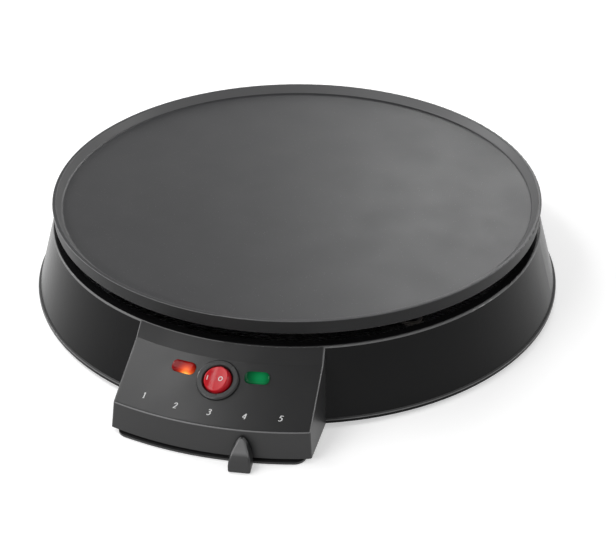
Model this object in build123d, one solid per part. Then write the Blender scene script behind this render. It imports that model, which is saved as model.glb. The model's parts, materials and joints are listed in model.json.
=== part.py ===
from build123d import *
import os
from math import atan2, cos, degrees, radians, sin, sqrt, tan

os.makedirs("parts", exist_ok=True)

# Electric crepe maker: a round cast hotplate on a flared base with a control box at the front.
# Millimetres, +Z up. Origin on the table under the centre of the plate; the control box faces -Y.
# Azimuths are degrees from the front (-Y) towards the right (+X), as seen from above.

# ---------------------------------------------------------------- driving sizes
# hotplate
plate_diameter = 300.0
plate_wall_height = 8.5
dish_depth = 4.8
rim_width = 2.1
rim_slope_run = 3.4
plate_draft = 0.5
plate_edge_round = 0.6
dish_round = 2.0
locating_drop = 5.0
# base
base_top = 45.3
base_flare = 11.85
base_bottom = 3.0
plate_gap = 7.7
base_overhang = 0.8
wall = 2.5
lip_setback = 6.0
shelf_drop = 9.3
shelf_width = 24.0
bead_height = 1.8
bead_out = 0.7
bead_round = 0.6
base_top_round = 1.4
lip_round = 1.0
# control box
band_run = 6.4
band_drop = 7.0
panel_run = 33.9
panel_front_z = 19.0
front_wall_run = 2.5
box_foot_z = 3.2
box_half_width = 56.3
box_side_draft = 3.6
box_wall = 2.2
box_edge_round = 1.6
window_half_width = 49.8
# temperature scale: marks 1 to 5, the lever rests on mark 4
mark_step = 6.0
mark_count = 5
rest_mark = 4
# lever
arm_thickness = 0.8
arm_width = 8.0
arm_hub_width = 16.0
knob_width = 12.0
knob_depth = 8.2
knob_height = 15.0
knob_foot_z = 0.7
knob_standoff = 0.9
knob_tip_depth = 1.4
knob_bulge = (1.9, 1.5)
knob_tip_half = 1.5
knob_shoulder = 0.7
knob_bow = (0.86, 0.55)  # width and height of the bowed sides, as shares of the knob
knob_round = 1.0
arm_flat = 42.75
arm_drop_run = 20.0
arm_cover_gap = 0.7
arm_step_gap = 5.35
arm_step_run = 14.0
arm_grip = 4.0
stud_diameter = 4.0
nut_height = 3.2
nut_across_flats = 7.0
# rocker switch, placed from the back edge of the panel
switch_inset = 10.8
switch_recess = 0.5
bezel_diameter = 23.5
bezel_thickness = 2.0
bezel_round = 0.9
barrel_diameter = 20.0
barrel_depth = 13.0
cap_sphere_diameter = 15.6
cap_tilt = 10.0
tab_width = 4.8
tab_thickness = 0.8
tab_length = 6.5
tab_pitch = 5.5
pivot_depth = 1.0
cap_low = 3.5
cap_top = 3.2
cap_dish_radius = 22.0
cap_round = 0.5
cavity_depth = 6.5
cap_pin_diameter = 2.4
# indicator lamps, placed from the back edge of the panel
lamp_inset = 7.4
lamp_gap = 2.1  # from the switch bezel to a lens, along the panel
lamp_recess = 0.3
lens_width = 13.6
lens_height = 7.0
lens_corner = 2.8
lens_flange = 1.1
lens_dome = 1.6
holder_length = 18.0
holder_width = 10.0
holder_height = 8.3
neon_diameter = 5.0
neon_length = 11.0
# heating
element_diameter = 6.5
element_inset = 55.0
element_gap_azimuth = 18.0
element_bend = 9.0
element_leg = 6.0
element_blade_width = 6.3
rib_wall = 3.35
rib_drop = 5.5
pan_sheet = 0.6
pan_depth = 16.0
pan_hole_radius = 6.5
pad_drop = 3.0
pillar_drop = 4.0
pillar_radius = 7.0
pillar_inset = 8.0
pillar_azimuths = [45, 135, 225, 315]
washer_radius = 6.0
washer_height = 2.0
pad_radius = 6.0
fuse_inset = 35.0
earth_inset = 33.0
bushing_inset = 26.0
bushing_azimuths = [150, 195, 325]
bushing_hole = 4.5
bushing_flange = 2.0
# thermostat
bracket_sheet = 1.6
bracket_width = 14.0
bracket_half_length = 23.0
bracket_lift = 6.0
bracket_floor_reach = 9.0
shaft_collar = 2.5
blade_sheet = 0.8
blade_width = 6.0
blade_overhang = 9.0
lower_insulator = 4.0
middle_insulator = 3.8
upper_insulator = 3.0
insulator_radius = 4.6
stack_x = -14.0
contact_x = 6.5
thermostat_screw_x = 16.0
# fixings and bought-in parts
plate_screw_diameter = 4.0
case_screw_diameter = 3.0
screw_bite = 12.0
boss_radius = 4.5
boss_inset = 13.0
boss_azimuths = [60, 120, 240, 300]
ear_boss_radius = 4.0
ear_boss_x = 43.5
ear_top = 12.0
ear_sheet = 2.5
post_x = 48.5
post_radius = 3.6
foot_diameter = 16.0
foot_stem_diameter = 6.0
foot_edge_gap = 3.5
foot_azimuths = [40, 140, 220, 320]
cover_sheet = 1.2
vent_slot = (22.0, 4.0)
vent_rings = [(70.0, 24), (112.0, 36)]
control_bottom_sheet = 1.3
floor_out = 1.3  # how far the floor stands out past the foot of the front wall
floor_side_step = 3.5
floor_seat_depth = 0.7
floor_head = 0.8
floor_corner = 7.0
shaft_diameter = 6.0
wire_diameter = 2.4
gland_diameter = 12.0
gland_height = 18.0
gland_collar = 2.5
gland_collar_depth = 2.2
cord_bore_diameter = 7.2
sleeve_wall = 0.7
fuse_length = 12.0
strap_sheet = 0.8
pole_pitch = 6.0
pole_count = 4
block_height = 12.0
block_depth = 13.0
block_azimuth = 158.0
clip_width = 6.0
clip_wall = 1.4
lead_diameter = 1.0
ring_height = 16.0
ring_step = 30.0
ring_azimuths = [135, 105, 75, 45]
run_height = 10.0
blade_wire_run = 16.0
side_wire_gap = 9.0
# clearances
running_fit = 0.05
moving_gap = 0.3
seat_gap = 0.1
thread_gap = 0.02
screw_gap = 0.2
past = 20.0  # how far a cutter runs past what it cuts

# ---------------------------------------------------------------- derived levels and radii
plate_radius = plate_diameter / 2
plate_under = base_top + plate_gap
plate_top = plate_under + plate_wall_height
dish_floor = plate_top - dish_depth
rim_inner_radius = plate_radius - rim_width
dish_radius = rim_inner_radius - rim_slope_run

base_top_radius = plate_radius + base_overhang
base_bottom_radius = base_top_radius + base_flare
flare_rate = base_flare / (base_top - base_bottom)
lip_inner_radius = plate_radius - lip_setback
shelf_top = base_top - shelf_drop
shelf_under = shelf_top - wall
shelf_inner_radius = lip_inner_radius - shelf_width
pillar_circle = shelf_inner_radius + pillar_inset
boss_circle = shelf_inner_radius + boss_inset

cover_under = base_bottom + 1.0
cover_top = cover_under + cover_sheet
cover_radius = base_bottom_radius - wall - 2.6

band_radius = base_top_radius
panel_back_radius = band_radius + band_run
panel_back_z = base_top - band_drop
panel_front_radius = panel_back_radius + panel_run
box_foot_radius = panel_front_radius + front_wall_run
panel_fall = (panel_back_z - panel_front_z) / panel_run
panel_slope = degrees(atan2(panel_back_z - panel_front_z, panel_run))
front_wall_slope = front_wall_run / (panel_front_z - box_foot_z)
wall_lean = atan2(front_wall_run, panel_front_z - box_foot_z)

arm_under = box_foot_z - moving_gap - arm_thickness
arm_over = arm_under + arm_thickness
control_floor_top = arm_under - moving_gap
control_floor_under = control_floor_top - control_bottom_sheet
control_floor_radius = box_foot_radius + floor_out

element_radius = plate_radius - element_inset
element_z = plate_under - element_diameter / 2 - 0.15
pan_floor_top = shelf_top - pan_depth
pan_floor_under = pan_floor_top - pan_sheet
pan_floor_radius = element_radius + 11.0
bushing_circle = pan_floor_radius - bushing_inset
thermostat_spots = [(-thermostat_screw_x, 0.0), (thermostat_screw_x, 0.0)]
rest_azimuth = (rest_mark - (mark_count + 1) / 2) * mark_step


# ---------------------------------------------------------------- helpers
up = (Align.CENTER, Align.CENTER, Align.MIN)


def polar(radius, azimuth, z):
    a = radians(azimuth)
    return Vector(radius * sin(a), -radius * cos(a), z)


def turned(profile, arc=360.0, start=90.0):
    """A closed (radius, height) outline turned about Z from the start azimuth."""
    face = Plane.XZ * make_face(Polyline(*profile, close=True))
    return Rot(0, 0, start - 90.0) * revolve(face, Axis.Z, arc)


def column(radius, low, high, at=(0.0, 0.0)):
    return Pos(at[0], at[1], low) * Cylinder(radius, high - low, align=up)


def tube(outer, inner, low, high, at=(0.0, 0.0)):
    return column(outer, low, high, at) - column(inner, low - 1, high + 1, at)


def block(x, y, z):
    """A box between three (low, high) pairs."""
    box = Box(x[1] - x[0], y[1] - y[0], z[1] - z[0], align=Align.MIN)
    return Pos(x[0], y[0], z[0]) * box


def spots(radius, azimuths):
    return [(polar(radius, a, 0).X, polar(radius, a, 0).Y) for a in azimuths]


def case_screws(low, high, places, head_height):
    """A group of the small screws that hold the casings."""
    return together(screw(case_screw_diameter, low, high, at, head_height) for at in places)


def screw(diameter, low, high, at, head_height):
    """A pan-head screw standing head-down at its spot, with a cross recess."""
    head = column(diameter, low - head_height, low, at)
    head = fillet(head.edges().sort_by(Axis.Z)[:1], head_height * 0.4)
    slot = Box(1.1 * diameter, 0.22 * diameter, 0.6 * head_height, align=up)
    cross = Pos(at[0], at[1], low - head_height) * (slot + Rot(0, 0, 90) * slot)
    shank = column(diameter / 2, low, high, at)
    shank = chamfer(shank.edges().sort_by(Axis.Z)[-1:], diameter * 0.15)
    return head + shank - cross


def panel_z(radius):
    return panel_back_z - (radius - panel_back_radius) * panel_fall


def panel_frame(radius, azimuth, lift=0.0):
    """Local frame on the control panel: X to the right, Y up the slope, Z out of the panel."""
    s = radians(panel_slope)
    a = radians(azimuth)
    normal = Vector(sin(a) * sin(s), -cos(a) * sin(s), cos(s))
    origin = polar(radius, azimuth, panel_z(radius)) + normal * lift
    return Plane(origin=origin, x_dir=(cos(a), sin(a), 0), z_dir=normal)


def rounded_path(points, limits):
    """A path of straight runs; each corner is a tangent arc, as large as its runs and limit allow."""
    edges = []
    start = points[0]
    for before, here, after, limit in zip(points, points[1:], points[2:], limits):
        u = (here - before).normalized()
        v = (after - here).normalized()
        turn = radians(u.get_angle(v))
        shorter = min((here - before).length, (after - here).length)
        bend = min(limit, 0.45 * shorter / tan(turn / 2))
        back = bend * tan(turn / 2)
        p = here - u * back
        q = here + v * back
        inward = (v - u).normalized()
        centre = here + inward * (bend / cos(turn / 2))
        middle = centre - inward * bend
        edges += [Line(start, p), ThreePointArc(p, middle, q)]
        start = q
    edges.append(Line(start, points[-1]))
    return Wire(edges)


def swept(path, radius):
    start = Plane(origin=path @ 0, z_dir=path % 0)
    return sweep(start * Circle(radius), path=path)


def wire_run(points, limits, radius=wire_diameter / 2):
    return swept(rounded_path(points, limits), radius)


def together(parts):
    return Compound(children=list(parts))


made = {}


def keep(name, shape):
    made[name] = shape


# ---------------------------------------------------------------- hotplate
def ring_edges(shape, radius, z):
    """Circular edges of a turned piece, found by radius and height."""
    found = []
    for e in shape.edges().filter_by(GeomType.CIRCLE):
        if abs(e.radius - radius) < 0.01 and abs(e.arc_center.Z - z) < 0.01:
            found.append(e)
    return found


plate_outline = [
    (0, plate_under),
    (plate_radius - plate_draft, plate_under),
    (plate_radius, plate_top),
    (rim_inner_radius, plate_top),
    (dish_radius, dish_floor),
    (0, dish_floor),
]
plate = turned(plate_outline)
plate = fillet(ring_edges(plate, dish_radius, dish_floor), dish_round)
for edge_radius, level in [
    (rim_inner_radius, plate_top),
    (plate_radius, plate_top),
    (plate_radius - plate_draft, plate_under),
]:
    plate = fillet(ring_edges(plate, edge_radius, level), plate_edge_round)

# locating ring under the plate, inside the lip of the base
locating_radius = lip_inner_radius - wall
locating_low = plate_under - locating_drop
plate += turned(
    [
        (locating_radius - wall, plate_under),
        (locating_radius, plate_under),
        (locating_radius, locating_low),
        (locating_radius - wall, locating_low),
    ]
)
# cast rib holding the element, left open at the front where the element turns down
rib_half = element_diameter / 2 + rib_wall
rib_low = plate_under - rib_drop
rib_draft = 0.8
rib_open = element_gap_azimuth + 2.0
rib_profile = [
    (element_radius - rib_half, plate_under),
    (element_radius + rib_half, plate_under),
    (element_radius + rib_half - rib_draft, rib_low),
    (element_radius - rib_half + rib_draft, rib_low),
]
plate += turned(rib_profile, 360 - 2 * rib_open, rib_open)
groove_half = element_diameter / 2 + running_fit
groove_profile = [
    (element_radius - groove_half, element_z),
    (element_radius + groove_half, element_z),
    (element_radius + groove_half, rib_low - 1),
    (element_radius - groove_half, rib_low - 1),
]
plate -= turned(groove_profile)
plate -= Pos(0, 0, element_z) * Torus(element_radius, groove_half)

# thermostat pad, screw pillars, fuse pad and earth pad, each with blind screw holes
pad_under = plate_under - pad_drop
pillar_under = plate_under - pillar_drop
blind_top = dish_floor - 2.0
case_thread = case_screw_diameter / 2 + thread_gap
case_clear = case_screw_diameter / 2 + screw_gap
pillar_spots = spots(pillar_circle, pillar_azimuths)
fuse_spot = (element_radius - fuse_inset, 0.0)
earth_spot = (0.0, element_radius - earth_inset)
thermostat_pad_radius = bracket_half_length - 1.0
plate += column(thermostat_pad_radius, pad_under, dish_floor - 1)
for spot in pillar_spots:
    plate += column(pillar_radius, pillar_under, dish_floor - 1, spot)
    plate -= column(plate_screw_diameter / 2 + thread_gap, 0, blind_top, spot)
for spot in (fuse_spot, earth_spot):
    plate += column(pad_radius, pad_under, dish_floor - 1, spot)
for spot in (*thermostat_spots, fuse_spot, earth_spot):
    plate -= column(case_thread, 0, blind_top, spot)
keep("griddle_plate", plate)
pad_screw_top = blind_top - 0.5


# ---------------------------------------------------------------- heating element
def element_end(side):
    """Points where one end of the ring leaves the circle, finishes its bend and stops."""
    a = radians(element_gap_azimuth)
    leave = polar(element_radius, side * element_gap_azimuth, element_z)
    along = Vector(-side * cos(a), -sin(a), 0)
    down = Vector(0, 0, -1)
    centre = leave + down * element_bend
    bent = centre + along * element_bend
    middle = centre + (along - down).normalized() * element_bend
    return leave, middle, bent, bent + down * element_leg


leave_r, middle_r, bent_r, tip_r = element_end(1)
leave_l, middle_l, bent_l, tip_l = element_end(-1)
element_path = Wire(
    [
        Line(tip_r, bent_r),
        ThreePointArc(bent_r, middle_r, leave_r),
        ThreePointArc(leave_r, polar(element_radius, 180, element_z), leave_l),
        ThreePointArc(leave_l, middle_l, bent_l),
        Line(bent_l, tip_l),
    ]
)
keep("heating_element", swept(element_path, element_diameter / 2))
tips = [(tip_r.X, tip_r.Y), (tip_l.X, tip_l.Y)]
pin_radius = 1.2
seal_low = tip_r.Z - 3.0
blade_high = seal_low - 2.5
flag_low = blade_high - 6.0
keep("element_seals", together(tube(element_diameter / 2, pin_radius, seal_low, tip_r.Z, t) for t in tips))
terminals = []
for t in tips:
    x_pair = (t[0] - blade_sheet / 2, t[0] + blade_sheet / 2)
    y_pair = (t[1] - element_blade_width / 2, t[1] + element_blade_width / 2)
    pin = column(pin_radius, blade_high - 0.5, tip_r.Z, t)
    terminals.append(pin + block(x_pair, y_pair, (flag_low, blade_high)))
keep("element_terminals", together(terminals))

# ---------------------------------------------------------------- heat reflector pan
pan_top_radius = shelf_inner_radius - 1.0
pan_flange_radius = lip_inner_radius - 1.0
pan_outline = [
    (pan_hole_radius, pan_floor_under),
    (pan_floor_radius, pan_floor_under),
    (pan_top_radius, shelf_top),
    (pan_flange_radius, shelf_top),
    (pan_flange_radius, shelf_top + pan_sheet),
    (pan_top_radius - pan_sheet, shelf_top + pan_sheet),
    (pan_floor_radius - pan_sheet, pan_floor_top),
    (pan_hole_radius, pan_floor_top),
]
pan = turned(pan_outline)
for spot in pillar_spots:
    pan -= column(washer_radius + screw_gap, shelf_top - 1, shelf_top + 2, spot)
bushing_spots = spots(bushing_circle, bushing_azimuths)
for spot in bushing_spots:
    pan -= column(bushing_hole, pan_floor_under - 1, pan_floor_top + 1, spot)
keep("heat_reflector", pan)
bushings = []
wire_radius = wire_diameter / 2
wire_bore = wire_radius + seat_gap
for spot in bushing_spots:
    neck = column(bushing_hole - seat_gap, pan_floor_under - bushing_flange, pan_floor_top, spot)
    flange = column(bushing_hole + 1.5, pan_floor_top, pan_floor_top + bushing_flange, spot)
    bushings.append(neck + flange - column(wire_bore, 0, plate_under, spot))
keep("reflector_bushings", together(bushings))

# ---------------------------------------------------------------- plate mounting
standoff_low = shelf_top + washer_height
standoff_radius = washer_radius - 1.5
plate_hole = plate_screw_diameter / 2 + screw_gap
keep(
    "insulating_washers",
    together(tube(washer_radius, plate_hole, shelf_top, standoff_low, s) for s in pillar_spots),
)
keep(
    "plate_standoffs",
    together(tube(standoff_radius, plate_hole, standoff_low, pillar_under, s) for s in pillar_spots),
)
keep(
    "plate_screws",
    together(screw(plate_screw_diameter, shelf_under, pad_screw_top, s, 2.6) for s in pillar_spots),
)


# ---------------------------------------------------------------- base housing
def base_outer(z):
    return base_top_radius + (base_top - z) * flare_rate


bead_radius = base_bottom_radius + bead_out
bead_top = base_bottom + bead_height
base_outline = [
    (base_bottom_radius - wall, base_bottom),
    (bead_radius, base_bottom),
    (bead_radius, bead_top),
    (base_outer(bead_top + 0.5), bead_top + 0.5),
    (base_top_radius, base_top),
    (lip_inner_radius, base_top),
    (lip_inner_radius, shelf_top),
    (shelf_inner_radius, shelf_top),
    (shelf_inner_radius, shelf_under),
    (lip_inner_radius + wall, shelf_under),
    (lip_inner_radius + wall, base_top - wall),
    (base_top_radius - wall, base_top - wall),
]
base = turned(base_outline)
base = fillet(ring_edges(base, base_top_radius, base_top), base_top_round)
base = fillet(ring_edges(base, lip_inner_radius, base_top), lip_round)
base = fillet(ring_edges(base, bead_radius, bead_top), bead_round)
# window behind the control box, up to the lip
lip_outer_radius = lip_inner_radius + wall
window = block(
    (-window_half_width, window_half_width),
    (-base_bottom_radius - past, -shelf_inner_radius),
    (0, base_top - wall - moving_gap),
)
base -= window - column(lip_outer_radius, 0, base_top)
# screw bosses under the shelf for the bottom cover and for the control box
boss_spots = spots(boss_circle, boss_azimuths)
ear_boss_y = -sqrt((lip_inner_radius - ear_boss_radius) ** 2 - ear_boss_x**2)
ear_spots = [(-ear_boss_x, ear_boss_y), (ear_boss_x, ear_boss_y)]
ear_under = ear_top - ear_sheet
for spot in boss_spots:
    base += column(boss_radius, cover_top, shelf_under + 0.5, spot)
    base -= column(case_thread, 0, cover_top + screw_bite + 2, spot)
for spot in ear_spots:
    base += column(ear_boss_radius, ear_top, shelf_under + 0.5, spot)
    base -= column(case_thread, 0, ear_top + screw_bite, spot)
for spot in pillar_spots:
    base -= column(plate_hole, shelf_under - 1, shelf_top + 1, spot)
# hole for the cord gland at the back, square to the sloping wall
gland_tilt = atan2(base_flare, base_top - base_bottom)
gland_frame = Plane(
    origin=Vector(0, base_outer(gland_height), gland_height),
    x_dir=(1, 0, 0),
    z_dir=Vector(0, cos(gland_tilt), sin(gland_tilt)),
)
gland_radius = gland_diameter / 2
base -= gland_frame * Cylinder(gland_radius + seat_gap, 3 * wall)
# screw hole for the terminal block in the shelf
block_place = Rot(0, 0, block_azimuth) * Pos(0, -boss_circle, 0)
pole_offsets = [(k - pole_count / 2) * pole_pitch for k in range(pole_count)]
block_screw_at = (pole_offsets[-1] + pole_pitch, 0)
base -= block_place * column(case_thread, shelf_under - 1, shelf_top - 0.3, block_screw_at)
keep("base_housing", base)


# ---------------------------------------------------------------- control housing
def box_prism(inset, low, high):
    """The drafted slab between the two side walls of the control box."""
    rate = box_side_draft / (base_top - box_foot_z)
    w_low = box_half_width - inset + (box_foot_z - low) * rate
    w_high = box_half_width - inset - (high - box_foot_z) * rate
    outline = Polyline((-w_low, low), (w_low, low), (w_high, high), (-w_high, high), close=True)
    return extrude(Plane.XZ * make_face(outline), box_foot_radius + past)


def box_turned(inset, low, back):
    """The turned front of the control box: band, panel and front wall, set in by a wall."""
    lean = radians(panel_slope)
    band_lean = atan2(band_drop, band_run)
    # each corner moves along the bisector of the two lines that meet there
    knee = inset * tan((band_lean - lean) / 2)
    back_r = panel_back_radius - inset * sin(lean) + knee * cos(lean)
    back_z = panel_back_z - inset * cos(lean) - knee * sin(lean)
    reach = inset * tan((radians(90) - wall_lean - lean) / 2)
    front_r = panel_front_radius - inset * sin(lean) - reach * cos(lean)
    front_z = panel_front_z - inset * cos(lean) + reach * sin(lean)
    foot_r = front_r + (front_z - low) * front_wall_slope
    top_r = band_radius - 0.6
    top_z = back_z + (back_r - top_r) * band_drop / band_run
    outline = [(back, low), (foot_r, low), (front_r, front_z)]
    outline += [(back_r, back_z), (top_r, top_z), (back, top_z)]
    return turned(outline, 80, -40)


def is_outer_edge(edge):
    """Edges of the box to round: all but its foot, its back and the knee of the panel."""
    mid = edge @ 0.5
    on_side = abs(mid.X) > box_half_width - box_side_draft - 1
    on_knee = abs(mid.Z - panel_back_z) < 0.5 and not on_side
    outside = sqrt(mid.X**2 + mid.Y**2) > base_top_radius + 1.5
    return outside and mid.Z > box_foot_z + 0.5 and not on_knee


box_back = base_top_radius - 12
box_high = base_top + past
housing = box_turned(0, box_foot_z, box_back) & box_prism(0, 0, box_high)
housing = fillet([e for e in housing.edges() if is_outer_edge(e)], box_edge_round)
housing -= box_turned(box_wall, box_foot_z - 1, box_back - 5) & box_prism(box_wall, 0, box_high)
# the box butts against the outside of the flared wall, clears its bead and stops under its lip
housing -= turned(
    [
        (0, 0),
        (base_outer(0) + seat_gap, 0),
        (base_top_radius + seat_gap, base_top),
        (base_top_radius - 2, base_top + 6),
        (0, base_top + 6),
    ]
)
housing -= turned(
    [
        (0, 0),
        (bead_radius + seat_gap, 0),
        (bead_radius + seat_gap, bead_top + seat_gap),
        (base_bottom_radius - 1, bead_top + 3),
        (0, bead_top + 3),
    ]
)
# ears reaching through the window to the bosses under the shelf, and posts for the floor screws
rear_post_y = -(base_outer(ear_under) + post_radius + 1.4)
front_post_y = -sqrt((box_foot_radius - front_wall_run - 4.8) ** 2 - post_x**2)
post_spots = [(s * post_x, y) for s in (-1, 1) for y in (rear_post_y, front_post_y)]
ear_z = (ear_under, ear_top)
for side in (-1, 1):
    arm_x = sorted((side * (ear_boss_x - boss_radius), side * (window_half_width - 2 * moving_gap)))
    root_x = sorted((side * (ear_boss_x - boss_radius), side * (box_half_width - box_wall / 2)))
    housing += block(arm_x, (rear_post_y, ear_boss_y + boss_radius), ear_z)
    housing += block(root_x, (rear_post_y - post_radius, rear_post_y + post_radius), ear_z)
post_bounds = box_turned(box_wall / 2, 0, box_back)
for spot in post_spots:
    high = ear_top if spot[1] == rear_post_y else panel_back_z
    housing += column(post_radius, control_floor_top, high, spot) & post_bounds
    housing -= column(case_thread, 0, control_floor_top + screw_bite / 2, spot)
for spot in ear_spots:
    housing -= column(case_clear, 0, ear_top + 1, spot)

# switch opening with a flat seat, lamp openings
switch_frame = panel_frame(panel_back_radius + switch_inset, 0)
bezel_radius = bezel_diameter / 2
barrel_radius = barrel_diameter / 2
housing -= switch_frame * Pos(0, 0, -switch_recess) * Cylinder(bezel_radius + seat_gap, 6, align=up)
housing -= switch_frame * Cylinder(barrel_radius + seat_gap, 12)


def lens_outline(margin):
    """Outline of a lens, a rounded rectangle, this much larger all round."""
    return RectangleRounded(lens_width + 2 * margin, lens_height + 2 * margin, lens_corner + margin)


lamp_circle = panel_back_radius + lamp_inset
lamp_azimuth = degrees((bezel_radius + lamp_gap + lens_width / 2) / lamp_circle)
lamp_frames = [panel_frame(lamp_circle, s * lamp_azimuth) for s in (-1, 1)]
for frame in lamp_frames:
    housing -= frame * extrude(lens_outline(seat_gap - lens_flange), past, both=True)
    housing -= frame * Pos(0, 0, -lamp_recess) * extrude(lens_outline(seat_gap), past)
keep("control_housing", housing)

# ---------------------------------------------------------------- bottom cover, control box floor, feet
cover = column(cover_radius, cover_under, cover_top)
for ring_radius, count in vent_rings:
    vent = extrude(SlotOverall(*vent_slot), past, both=True)
    for k in range(count):
        cover -= Rot(0, 0, 360 / count * (k + 0.5)) * Pos(ring_radius, 0, cover_under) * vent
foot_spots = spots(cover_radius - foot_diameter / 2 - foot_edge_gap, foot_azimuths)
foot_stem = foot_stem_diameter / 2
for spot in boss_spots:
    cover -= column(case_clear, 0, cover_top + 1, spot)
for spot in foot_spots:
    cover -= column(foot_stem + running_fit, 0, cover_top + 1, spot)
keep("bottom_cover", cover)
low_head = 1.2
keep("bottom_cover_screws", case_screws(cover_under, cover_top + screw_bite, boss_spots, low_head))
feet = []
bulb_height = 2.2
for spot in foot_spots:
    pad = column(foot_diameter / 2, 0, cover_under, spot)
    pad = chamfer(pad.edges().sort_by(Axis.Z)[:1], 0.8)
    stem = column(foot_stem, cover_under, cover_top + bulb_height, spot)
    bulb = Pos(spot[0], spot[1], cover_top) * Cone(foot_stem + 1.0, foot_stem - 0.6, bulb_height, align=up)
    feet.append(pad + stem + bulb)
keep("rubber_feet", together(feet))

floor_z = (control_floor_under, control_floor_top)
floor_half = box_half_width - floor_side_step
floor_inner = bead_radius + 0.4
tongue_half = window_half_width - 0.4
floor_depth = (-control_floor_radius - past, 0)
floor_front = block((-floor_half, floor_half), floor_depth, floor_z)
floor_front &= tube(control_floor_radius, floor_inner, *floor_z)
corner_edges = []
for e in floor_front.edges().filter_by(Axis.Z):
    if sqrt((e @ 0.5).X ** 2 + (e @ 0.5).Y ** 2) > control_floor_radius - 0.5:
        corner_edges.append(e)
tongue = block((-tongue_half, tongue_half), floor_depth, floor_z)
tongue &= tube(floor_inner + 2, cover_radius + 2 * moving_gap, *floor_z)
control_floor = fillet(corner_edges, floor_corner) + tongue
floor_screw_seat = control_floor_under + floor_seat_depth
for spot in post_spots:
    control_floor -= column(case_clear, 0, base_top, spot)
    control_floor -= column(case_screw_diameter + screw_gap, 0, floor_screw_seat, spot)
keep("control_box_floor", control_floor)
floor_screw_top = control_floor_top + screw_bite / 2 - 0.5
keep("control_floor_screws", case_screws(floor_screw_seat, floor_screw_top, post_spots, floor_head))
keep("control_housing_screws", case_screws(ear_under, ear_top + screw_bite - 2, ear_spots, 1.8))

# ---------------------------------------------------------------- thermostat under the plate centre
shaft_radius = shaft_diameter / 2
frame_left = -bracket_half_length
frame_floor = pan_floor_top + bracket_lift
frame_floor_top = frame_floor + bracket_sheet
bracket_y = (-bracket_width / 2, bracket_width / 2)
top_sheet = (pad_under - bracket_sheet, pad_under)
lower_blade = frame_floor_top + lower_insulator
upper_blade = lower_blade + blade_sheet + middle_insulator
stack_top = upper_blade + blade_sheet + upper_insulator
bracket = block((frame_left, -frame_left), bracket_y, top_sheet)
bracket += block((frame_left, frame_left + bracket_sheet), bracket_y, (frame_floor, pad_under))
bracket += block((frame_left, bracket_floor_reach), bracket_y, (frame_floor, frame_floor_top))
bracket += column(shaft_radius + shaft_collar, pan_floor_top + 1.0, frame_floor_top)
bracket -= column(shaft_radius + running_fit, 0, frame_floor_top + 1)
blade_slot_y = (-blade_width / 2 - 1.5, blade_width / 2 + 1.5)
bracket -= block((frame_left - 1, frame_left + 3), blade_slot_y, (lower_blade - 1.5, upper_blade + 2.5))
rivet_radius = 1.5
rivet_hole = rivet_radius + thread_gap
at_stack = (stack_x, 0.0)
bracket -= column(rivet_hole, frame_floor - 1, frame_floor_top + 1, at_stack)
for spot in thermostat_spots:
    bracket -= column(case_clear, top_sheet[0] - 1, pad_under + 1, spot)
keep("thermostat_frame", bracket)
levels = [
    (frame_floor_top, lower_blade),
    (lower_blade + blade_sheet, upper_blade),
    (upper_blade + blade_sheet, stack_top),
]
keep(
    "thermostat_insulators",
    together(tube(insulator_radius, rivet_hole, *z_pair, at_stack) for z_pair in levels),
)
blade_left = frame_left - blade_overhang
contact_radius = 1.6
contact_height = middle_insulator / 2
blades = []
blade_y = (-blade_width / 2, blade_width / 2)
contact_lows = (lower_blade + blade_sheet, upper_blade - contact_height)
for z, contact_low in zip((lower_blade, upper_blade), contact_lows):
    strip = block((blade_left, contact_x + 3), blade_y, (z, z + blade_sheet))
    strip -= column(rivet_hole, z - 1, z + 2, at_stack)
    blades.append(strip + column(contact_radius, contact_low, contact_low + contact_height, (contact_x, 0)))
keep("thermostat_blades", together(blades))
rivet_head = 1.2
rivet = column(rivet_radius, frame_floor, stack_top, at_stack)
for low in (frame_floor - rivet_head, stack_top):
    rivet += column(rivet_radius + 1.1, low, low + rivet_head, at_stack)
keep("thermostat_rivet", rivet)
keep("thermostat_screws", case_screws(top_sheet[0], pad_screw_top, thermostat_spots, 2.0))

# ---------------------------------------------------------------- temperature lever
hub_under = (pan_floor_under + cover_top - arm_thickness) / 2
hub_over = hub_under + arm_thickness
shaft_top = lower_blade - 3.0
stud_radius = stud_diameter / 2
shaft = column(shaft_radius, hub_over, shaft_top)
shaft = chamfer(shaft.edges().sort_by(Axis.Z)[-1:], 0.5)
shaft += column(stud_radius, hub_under - nut_height - 0.5, hub_over)
keep("thermostat_shaft", shaft)
keep("shaft_pin", column(1.5, shaft_top, lower_blade - moving_gap))
nut = extrude(RegularPolygon(nut_across_flats / sqrt(3), 6), nut_height)
keep("lever_nut", Pos(0, 0, hub_under - nut_height) * nut - column(stud_radius + thread_gap, 0, hub_over))

swing = Rot(0, 0, rest_azimuth)
foot_back = control_floor_radius + knob_standoff
arm_end = foot_back + arm_grip
arm_low_start = arm_flat + arm_drop_run
arm_step_start = base_bottom_radius + arm_step_gap
arm_step_end = arm_step_start + arm_step_run
cover_pass_under = cover_top + arm_cover_gap
cover_pass_over = cover_pass_under + arm_thickness
half_hub = arm_hub_width / 2
half_arm = arm_width / 2
side_profile = [
    (half_hub, hub_under),
    (-arm_flat, hub_under),
    (-arm_low_start, cover_pass_under),
    (-arm_step_start, cover_pass_under),
    (-arm_step_end, arm_under),
    (-arm_end, arm_under),
    (-arm_end, arm_over),
    (-arm_step_end - 0.1, arm_over),
    (-arm_step_start - 0.1, cover_pass_over),
    (-arm_low_start - 0.3, cover_pass_over),
    (-arm_flat - 0.3, hub_over),
    (half_hub, hub_over),
]
taper = [
    (-half_hub, 0),
    (half_hub, 0),
    (half_arm, -base_bottom_radius),
    (half_arm, -arm_end),
    (-half_arm, -arm_end),
    (-half_arm, -base_bottom_radius),
]
strip = extrude(Plane.YZ * make_face(Polyline(*side_profile, close=True)), half_hub, both=True)
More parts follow.
